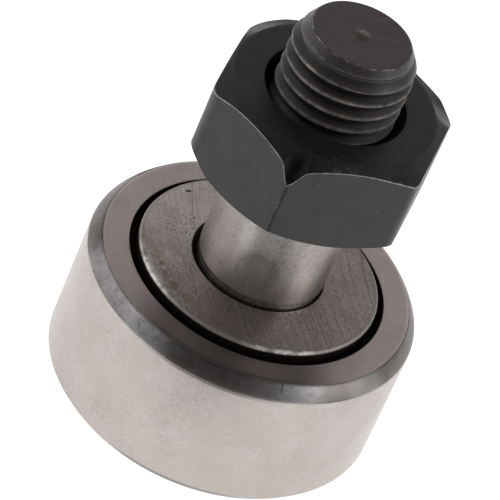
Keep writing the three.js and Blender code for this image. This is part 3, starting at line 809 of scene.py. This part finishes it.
def build_stud():
    """One solid: the turned blank, cut for slot, nipple and grease, joined to its thread."""
    r = HEAD_RADIUS
    race_top = WASHER_BOTTOM
    end = STUD_TOP - NIB_HEIGHT
    blank = lathe("stud_fine", [
        (0, STUD_BOTTOM, 0),
        (r - HEAD_CORNER, STUD_BOTTOM, 0.14),
        (r, STUD_BOTTOM + HEAD_CORNER, 0.12),
        (r, HEAD_THICKNESS, 0.12),
        (STUD_RACE + 0.25, HEAD_THICKNESS, 0.10),
        (STUD_RACE, HEAD_THICKNESS + 0.25, 0.10),
        (STUD_RACE, race_top, 0.12),
        (SHANK_RADIUS, race_top, 0.02),
        (SHANK_RADIUS - SHANK_RELIEF, WASHER_TOP - 0.1, 0.1),
        (SHANK_RADIUS - SHANK_RELIEF, WASHER_TOP + 0.35, 0.1),
        (SHANK_RADIUS, WASHER_TOP + 0.6, 0.12),
        (SHANK_RADIUS, THREAD_START - 0.6, 0.15),
        (ROOT_RADIUS, THREAD_START, 0.05),
        (0, THREAD_START, 0),
    ], closed=False)
    stud = add_object("stud_fine", blank)
    seat = NIPPLE_RADIUS + 0.1
    cross = drum(GREASE_CROSS, 0, 2 * STUD_RACE, 48)
    lifted = Matrix.Translation((0, 0, GREASE_DEPTH * MM))
    cross.transform(lifted @ Matrix.Rotation(math.pi / 2, 4, "Y"))
    for tool in (
        block(3 * r, SLOT_WIDTH, -1, SLOT_DEPTH),
        drum(seat, -1, NIPPLE_BOTTOM + 1.0),
        drum(2.0, -1, NIPPLE_TOP + 0.2),
        drum(GREASE_BORE, -1, GREASE_DEPTH, 64),
        cross,
    ):
        combine(stud, tool, "DIFFERENCE")
    bevel(stud, 0.06, 50)
    rod = add_object("rod", helix_rod(THREAD_START - 2, end + 1))
    envelope = lathe("envelope", [
        (0, THREAD_START - 0.6, 0),
        (CREST_RADIUS + 0.1, THREAD_START - 0.6, 0),
        (CREST_RADIUS + 0.1, end - LEAD_LENGTH, 0),
        (CREST_RADIUS, end - LEAD_LENGTH, 0.0),
        (LEAD_RADIUS, end, 0.12),
        (0.6, end, 0.2),
        (NIB_RADIUS / 2, end + 0.18, 0.15),
        (0.0, STUD_TOP, 0),
    ], closed=False, support=0.04)
    combine(rod, envelope, "INTERSECT")
    combine(stud, rod.data.copy(), "UNION")
    bpy.data.objects.remove(rod)
    mesh = stud.data.copy()
    bpy.data.objects.remove(stud)
    mark_edges(mesh)
    mesh.materials.clear()
    for m in (shank_look, thread_look, end_look):
        mesh.materials.append(m)
    for face in mesh.polygons:
        z = face.center.z / MM
        radius = math.hypot(face.center.x, face.center.y) / MM
        if z < THREAD_START - 0.6:
            face.material_index = 0
        elif face.normal.z > 0.8 and z > end - 0.05 or radius < LEAD_RADIUS - 0.15 and z > end - 0.1:
            face.material_index = 2
        else:
            face.material_index = 1
    smooth(mesh, 32)
    mesh.name = "stud_fine"
    obj = piece("stud_fine", mesh, "stud", "stud", "ground_steel_stud")
    even_shading(obj)


# ---------------------------------------------------------------- nut
def build_nut():
    """A ring of rows, each of which gives its radius and height for every angle."""
    half = NUT_FLATS / 2
    columns = 480
    soft = 0.07  # how far down a flat the rounding under the chamfer goes
    sink_depth = NUT_SINK - NUT_BORE
    front = NUT_TURN - math.pi / 2

    def corner_at(turn):
        """The number of the nearest upright edge, and the signed angle from it."""
        ahead = (turn - front + TAU / 12) % TAU
        k = int(ahead // (TAU / 6)) % 6
        return k, ahead - TAU / 12 - k * TAU / 6

    def flat_reach(turn):
        """The hexagon's radius at an angle: a soft minimum of the two flats that meet nearby."""
        k, off = corner_at(turn)
        soft_by = NUT_CORNERS[k][0]
        before = (half + NUT_OFFSETS[k - 1]) / math.cos(TAU / 12 + off)
        after = (half + NUT_OFFSETS[k]) / math.cos(TAU / 12 - off)
        share = min(1.0, max(0.0, 0.5 + 0.5 * (after - before) / soft_by))
        return after * (1 - share) + before * share - soft_by * share * (1 - share)

    def drop(turn, top):
        """How far the chamfer has fallen where it meets the flats; less at the back of the top."""
        k, off = corner_at(turn)
        _, above, below, width = NUT_CORNERS[k]
        share = 0.5 + 0.5 * math.cos(math.pi * min(1.0, abs(off) / width))
        fall = (flat_reach(turn) - NUT_LAND) * NUT_SLOPE
        if top:
            fall *= 1 - 0.55 * min(1.0, max(0.0, (math.sin(turn) + 0.15) / 0.6))
        return fall + (above if top else below) * share

    def side(sign):
        """The rows from the bore out over one face to the flats, each with how worn it is.
        Sign 1 is the top."""
        face = NUT_TOP if sign > 0 else NUT_BOTTOM
        top = sign > 0
        worn = 1.0 if top else 0.35

        def flat(r, dz):
            return lambda t: (r, face - sign * dz)

        def cone(share, inward):
            def at(t):
                reach = flat_reach(t)
                fall = drop(t, top)
                span = reach - NUT_LAND
                return NUT_LAND + span * share - inward, face - sign * fall * share
            return at

        def wall(extra):
            def at(t):
                return flat_reach(t), face - sign * (drop(t, top) + extra)
            return at

        def corner(t):
            return flat_reach(t) - 0.03, face - sign * (drop(t, top) + 0.008)

        return [
            (0.0, flat(NUT_BORE, sink_depth + 0.06)),
            (0.0, flat(NUT_BORE + 0.05, sink_depth - 0.03)),
            (0.0, flat(NUT_BORE + 0.14, sink_depth - 0.14)),
            (0.0, flat(NUT_SINK - 0.10, 0.10)),
            (0.12, flat(NUT_SINK - 0.02, 0.025)),
            (0.12, flat(NUT_SINK + 0.03, 0.0)),
            (0.0, flat(NUT_SINK + 0.12, 0.0)),
            (0.0, flat(NUT_LAND - 0.2, 0.0)),
            (0.0, flat(NUT_LAND, 0.0)),
            (0.0, cone(0.25, 0.0)),
            (0.0, cone(0.6, 0.0)),
            (0.0, cone(0.88, 0.0)),
            (0.35 * worn, cone(0.96, 0.0)),
            (worn, corner),
            (worn, wall(soft * 0.5)),
            (0.0, wall(soft * 1.6)),
        ]

    places = side(-1) + side(1)[::-1]
    rows = [(0.0, 0.0, worn) for worn, _ in places]
    mesh = sweep("hex_nut_fine", rows, columns, lambda i, turn: places[i][1](turn), angle=28)
    # the upright edges are worn too
    near_edge = 0.007  # radians
    edge_wear = 0.62
    layer = mesh.attributes["edge"].data
    for i, v in enumerate(mesh.vertices):
        turn = math.atan2(v.co.y, v.co.x)
        away = abs(corner_at(turn)[1])
        z = v.co.z / MM
        on_wall = NUT_BOTTOM + drop(turn, False) - 0.01 < z < NUT_TOP - drop(turn, True) + 0.01
        if away < near_edge and on_wall:
            layer[i].value = edge_wear
    return piece("hex_nut_fine", mesh, "nut", "hex_nut", "black_oxide_nut", nut_look)


# ---------------------------------------------------------------- needles and cage
def build_needles():
    low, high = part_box("needle_01")
    length = (high.z - low.z) / MM
    radius = (high.x - low.x) / 2 / MM
    half = length / 2
    for i in range(NEEDLES):
        name = f"needle_{i + 1:02d}"
        low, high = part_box(name)
        centre = (low + high) / 2
        mesh = lathe(name + "_fine", [
            (0, -half, 0), (radius - 0.22, -half, 0.1), (radius, -half + 0.3, 0.18),
            (radius, half - 0.3, 0.18), (radius - 0.22, half, 0.1), (0, half, 0),
        ], columns=40, closed=False)
        mesh.transform(Matrix.Translation(centre))
        piece(name + "_fine", mesh, name, name, "needle_steel", needle_look)


def build_cage():
    """A tube with a window for each needle, the first half a step round from +X."""
    inner = 7.35
    play = 0.06  # between a needle and its window
    mesh = lathe("needle_cage_fine", [
        (inner, CAGE_BOTTOM, 0.12), (CAGE_RADIUS, CAGE_BOTTOM, 0.12),
        (CAGE_RADIUS, CAGE_TOP, 0.12), (inner, CAGE_TOP, 0.12),
    ], columns=192)
    cage = add_object("cage", mesh)
    low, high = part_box("needle_01")
    width = 2 * NEEDLE_RADIUS + 2 * play
    for i in range(NEEDLES):
        window = block(2.6, width, low.z / MM - play, high.z / MM + play)
        window.transform(Matrix.Translation((NEEDLE_ORBIT * MM, 0, 0)))
        window.transform(Matrix.Rotation(TAU * (i + 0.5) / NEEDLES, 4, "Z"))
        combine(cage, window, "DIFFERENCE")
    bevel(cage, 0.05, 50)
    mesh = cage.data.copy()
    bpy.data.objects.remove(cage)
    mark_edges(mesh)
    mesh.materials.clear()
    smooth(mesh, 32)
    obj = piece("needle_cage_fine", mesh, "cage", "needle_cage", "cage_steel", cage_look)
    even_shading(obj)


# ---------------------------------------------------------------- nipple, ball and spring
def build_nipple():
    face, top = NIPPLE_BOTTOM, NIPPLE_TOP
    throat = face + 0.8
    mesh = lathe("grease_nipple_fine", [
        (1.7, face, 0.10), (NIPPLE_RADIUS, face, 0.18), (NIPPLE_RADIUS, face + 0.9, 0.15),
        (1.95, face + 0.9, 0.05), (1.95, top, 0.15), (0.5, top, 0.08), (0.5, top - 0.25, 0.06),
        (1.0, top - 0.25, 0.03), (1.0, throat, 0.03), (0.6, throat, 0.04),
    ], columns=96)
    piece("grease_nipple_fine", mesh, "stud", "grease_nipple", "nipple_brass", brass_look)
    bm = bmesh.new()
    bmesh.ops.create_uvsphere(bm, u_segments=48, v_segments=24, radius=BALL_RADIUS * MM)
    mesh = bpy.data.meshes.new("nipple_ball_fine")
    bm.to_mesh(mesh)
    bm.free()
    smooth(mesh)
    mesh.transform(Matrix.Translation((0, 0, (BALL_BOTTOM + BALL_TOP) / 2 * MM)))
    piece("nipple_ball_fine", mesh, "ball", "nipple_ball", "needle_steel", needle_look)


def build_spring():
    """Round wire along a helix, with capped ends."""
    wire = 0.11
    radius = 0.62
    turns = 5
    per_turn = 32
    around = 10
    low = SPRING_BOTTOM + wire
    high = SPRING_TOP - wire
    bm = bmesh.new()
    rings = []
    count = turns * per_turn
    for i in range(count + 1):
        t = i / count
        angle = TAU * turns * t
        z = low + (high - low) * t
        centre = Vector((radius * math.cos(angle), radius * math.sin(angle), z))
        out = Vector((math.cos(angle), math.sin(angle), 0))
        along = Vector((-math.sin(angle), math.cos(angle), (high - low) / (TAU * turns * radius)))
        up = out.cross(along.normalized()).normalized()
        ring = []
        for k in range(around):
            a = TAU * k / around
            p = centre + (out * math.cos(a) + up * math.sin(a)) * wire
            ring.append(bm.verts.new(p * MM))
        rings.append(ring)
    for i in range(count):
        for k in range(around):
            m = (k + 1) % around
            bm.faces.new((rings[i][k], rings[i][m], rings[i + 1][m], rings[i + 1][k]))
    bm.faces.new(rings[0])
    bm.faces.new(rings[-1])
    bmesh.ops.recalc_face_normals(bm, faces=bm.faces)
    mesh = bpy.data.meshes.new("nipple_spring_fine")
    bm.to_mesh(mesh)
    bm.free()
    smooth(mesh)
    obj = piece("nipple_spring_fine", mesh, "stud", "nipple_spring", "spring_steel", wire_look)
    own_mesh(obj)


build_ring()
build_washer()
build_stud()
build_nut()
build_needles()
build_cage()
build_nipple()
build_spring()


# ---------------------------------------------------------------- floor, lights and camera
def build_floor():
    mesh = bpy.data.meshes.new("floor")
    reach = 3.0
    corners = [(-reach, -reach, 0), (reach, -reach, 0), (reach, reach, 0), (-reach, reach, 0)]
    mesh.from_pydata(corners, [], [(0, 1, 2, 3)])
    floor = add_object("floor", mesh, floor_white())


def build_flag():
    """A dark card lying in front, unseen by the camera, which the shank's middle reflects."""
    mesh = bpy.data.meshes.new("flag")
    near, far, half, height = -29 * MM, -80 * MM, 24 * MM, 0.3 * MM
    corners = [(-half, far), (half, far), (half, near), (-half, near)]
    mesh.from_pydata([(x, y, height) for x, y in corners], [], [(0, 1, 2, 3)])
    s = Shader("flag_card")
    tone = s.step(s.noise(s.place, 0.02, 2.0), 0.3, 0.7, 0.10, 0.13)
    flag = add_object("flag", mesh, s.finish(s.join(tone, tone, tone), 0.95, 0.0))
    flag.visible_camera = False


def area_light(name, place, width, height, power, aim=(0, 0, 0.015)):
    data = bpy.data.lights.new(name, "AREA")
    data.shape = "RECTANGLE"
    data.size = width
    data.size_y = height
    data.energy = power
    obj = bpy.data.objects.new(name, data)
    bpy.context.scene.collection.objects.link(obj)
    obj.location = place
    obj.rotation_euler = (Vector(aim) - Vector(place)).to_track_quat("-Z", "Y").to_euler()
    return obj


def build_world():
    """A white sweep low down all round, dimmer above, and dimmer still towards -Y."""
    world = bpy.data.worlds.new("studio")
    bpy.context.scene.world = world
    world.use_nodes = True
    tree = world.node_tree
    tree.nodes.clear()
    place = tree.nodes.new("ShaderNodeTexCoord")
    parts = tree.nodes.new("ShaderNodeSeparateXYZ")
    ramp = tree.nodes.new("ShaderNodeValToRGB")
    side = tree.nodes.new("ShaderNodeMapRange")
    product = tree.nodes.new("ShaderNodeMath")
    shade = tree.nodes.new("ShaderNodeBackground")
    output = tree.nodes.new("ShaderNodeOutputWorld")
    tree.links.new(place.outputs["Generated"], parts.inputs[0])
    tree.links.new(parts.outputs["Z"], ramp.inputs[0])
    tree.links.new(parts.outputs["Y"], side.inputs[0])
    side.interpolation_type = "SMOOTHSTEP"
    for socket, value in zip(list(side.inputs)[1:5], (-0.7, 0.3, 0.45, 1.0)):
        socket.default_value = value
    product.operation = "MULTIPLY"
    tree.links.new(ramp.outputs[0], product.inputs[0])
    tree.links.new(side.outputs[0], product.inputs[1])
    tree.links.new(product.outputs[0], shade.inputs["Color"])
    tree.links.new(shade.outputs[0], output.inputs["Surface"])
    tones = ((0.0, 0.9), (0.12, 0.75), (0.36, 0.42), (0.75, 0.35), (0.95, 0.12))
    stops = ramp.color_ramp.elements
    while len(stops) < len(tones):
        stops.new(0.5)
    for stop, (at, tone) in zip(stops, tones):
        stop.position = at
        stop.color = (tone, tone, tone, 1)


build_floor()
build_flag()
build_world()
area_light("left", (-0.46, -0.05, 0.25), 0.36, 0.28, 0.46)
area_light("right", (0.47, -0.06, 0.25), 0.24, 0.28, 0.56)

ELEVATION = math.radians(37.66)  # of the camera above the ring's face
ROLL = math.radians(24.0)
DISTANCE = 303.3
AIM = (0.759, -1.05, 13.2)  # across, up the view, and the height aimed at
LENS = 291.6

back = Vector((0, -math.cos(ELEVATION), math.sin(ELEVATION)))
up = Vector((0, math.sin(ELEVATION), math.cos(ELEVATION)))
right = Vector((1, 0, 0))
view_right = right * math.cos(ROLL) + up * math.sin(ROLL)
view_up = up * math.cos(ROLL) - right * math.sin(ROLL)
camera_data = bpy.data.cameras.new("camera")
camera_data.sensor_width = 36
camera_data.lens = LENS
camera = bpy.data.objects.new("camera", camera_data)
bpy.context.scene.collection.objects.link(camera)
spot = back * DISTANCE - view_right * AIM[0] - view_up * AIM[1] + Vector((0, 0, AIM[2]))
turn = Matrix((view_right, view_up, back)).transposed().to_4x4()
camera.matrix_world = Matrix.Translation(spot * MM) @ turn
camera_data.clip_start = 0.01
bpy.context.scene.camera = camera
bpy.context.scene.view_settings.view_transform = "Standard"
